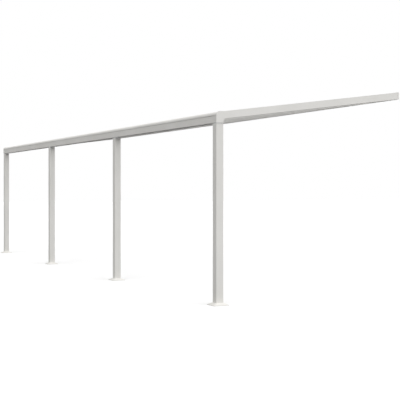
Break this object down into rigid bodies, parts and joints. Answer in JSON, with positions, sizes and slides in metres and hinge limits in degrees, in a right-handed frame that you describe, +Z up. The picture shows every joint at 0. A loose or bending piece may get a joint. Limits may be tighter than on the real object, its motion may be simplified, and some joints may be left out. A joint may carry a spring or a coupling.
{
  "type": "lean-to pergola",
  "caption": "White aluminium lean-to pergola frame: front posts carry a gutter beam and sloping rafters rise to a wall plate.",
  "frame": {"origin": "on the wall plate's back face, at the middle of its length and height", "axes": "+X along the front to the right as seen from the garden, +Y out of the back face into the wall, +Z up"},
  "size_m": [11.84, 3.176, 3.0618],
  "materials": {
    "white_coat": "satin powder coat",
    "bare_metal": "as cast and milled"
  },
  "bodies": {
    "root": {"post_left_end": "white_coat", "post_left_middle": "white_coat", "post_right_middle": "white_coat", "post_right_end": "white_coat", "post_head_left_end": "bare_metal", "post_head_left_middle": "bare_metal", "post_head_right_middle": "bare_metal", "post_head_right_end": "bare_metal", "foot_plate_left_end": "bare_metal", "foot_plate_left_middle": "bare_metal", "foot_plate_right_middle": "bare_metal", "foot_plate_right_end": "bare_metal", "foot_cover_left_end": "white_coat", "foot_cover_left_middle": "white_coat", "foot_cover_right_middle": "white_coat", "foot_cover_right_end": "white_coat", "gutter_left": "white_coat", "gutter_middle": "white_coat", "gutter_right": "white_coat", "gutter_sleeve_left": "bare_metal", "gutter_sleeve_right": "bare_metal", "gutter_end_cap_left": "white_coat", "gutter_end_cap_right": "white_coat", "rafter_left_end": "white_coat", "rafter_1": "white_coat", "rafter_2": "white_coat", "rafter_3": "white_coat", "rafter_4": "white_coat", "rafter_5": "white_coat", "rafter_6": "white_coat", "rafter_7": "white_coat", "rafter_8": "white_coat", "rafter_9": "white_coat", "rafter_10": "white_coat", "rafter_11": "white_coat", "rafter_right_end": "white_coat", "wall_plate_left": "white_coat", "wall_plate_middle": "white_coat", "wall_plate_right": "white_coat", "wall_plate_end_cap_left": "white_coat", "wall_plate_end_cap_right": "white_coat"}
  },
  "joints": []
}
